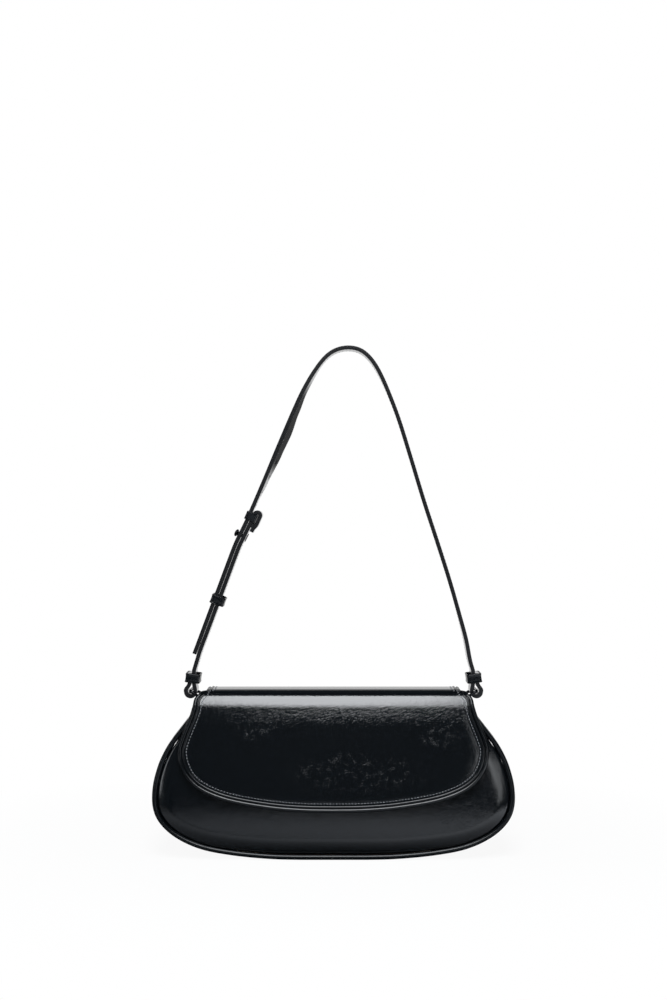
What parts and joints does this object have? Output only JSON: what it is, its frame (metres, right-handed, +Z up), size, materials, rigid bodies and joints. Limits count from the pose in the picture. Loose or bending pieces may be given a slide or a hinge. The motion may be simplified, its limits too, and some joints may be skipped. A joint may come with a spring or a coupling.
{
  "type": "shoulder bag",
  "caption": "Piped leather shoulder bag with a curved front flap, a hidden magnetic snap and an adjustable strap on two rings.",
  "frame": {"origin": "middle of the base, on the surface that the bag stands on", "axes": "+X to the wearer's right as the front is seen, the front faces -Y, +Z up"},
  "size_m": [0.281, 0.0762, 0.3981],
  "materials": {
    "patent_leather": "glossy black patent leather with a fine crackled grain",
    "black_metal": "gloss black plate",
    "twill": "matt black cotton twill",
    "fibreboard": "plain stiffening board"
  },
  "bodies": {
    "bag": {"front_panel": "patent_leather", "back_panel": "patent_leather", "gusset": "patent_leather", "front_piping": "patent_leather", "back_piping": "patent_leather", "lining": "twill", "base_board": "fibreboard", "front_facing": "patent_leather", "back_facing": "patent_leather", "flap_back": "patent_leather", "snap_socket": "black_metal", "snap_washer": "black_metal", "tab_left": "patent_leather", "tab_right": "patent_leather"},
    "flap_top": {"flap_top": "patent_leather", "flap_top_lining": "patent_leather"},
    "flap_front": {"flap_front": "patent_leather", "flap_front_lining": "patent_leather", "flap_binding": "patent_leather", "snap_stud": "black_metal"},
    "strap": {"strap_long": "patent_leather", "strap_short": "patent_leather", "strap_loop": "patent_leather", "button_stud": "black_metal", "stud_base": "black_metal", "ring_left": "black_metal", "ring_right": "black_metal"},
    "sliding_keeper": {"sliding_keeper": "patent_leather"},
    "end_keeper_left": {"end_keeper_left": "patent_leather"},
    "end_keeper_right": {"end_keeper_right": "patent_leather"}
  },
  "joints": [
    {"name": "flap_lift", "type": "hinge", "parent": "bag", "child": "flap_top", "pos_m": [0, 0.01415, 0.12675], "axis": [-1, 0, 0], "range_deg": [0, 40]},
    {"name": "flap_fold", "type": "hinge", "parent": "flap_top", "child": "flap_front", "pos_m": [0, -0.01466, 0.12566], "axis": [-1, 0, 0], "range_deg": [0, 80]},
    {"name": "strap_swing", "type": "hinge", "parent": "bag", "child": "strap", "pos_m": [0, 0, 0.1265], "axis": [-1, 0, 0], "range_deg": [-40, 75], "deforming": ["tab_left", "tab_right"]},
    {"name": "sliding_keeper_slide", "type": "slide", "parent": "strap", "child": "sliding_keeper", "axis": [0.35, 0, 0.9368], "range_m": [-0.025, 0.025]},
    {"name": "end_keeper_left_slide", "type": "slide", "parent": "strap", "child": "end_keeper_left", "axis": [0, 0, 1], "range_m": [0, 0.005]},
    {"name": "end_keeper_right_slide", "type": "slide", "parent": "strap", "child": "end_keeper_right", "axis": [0, 0, 1], "range_m": [0, 0.005]}
  ],
  "couplings": [
    {"joint": "flap_fold", "follows": "flap_lift", "ratio": 2}
  ]
}
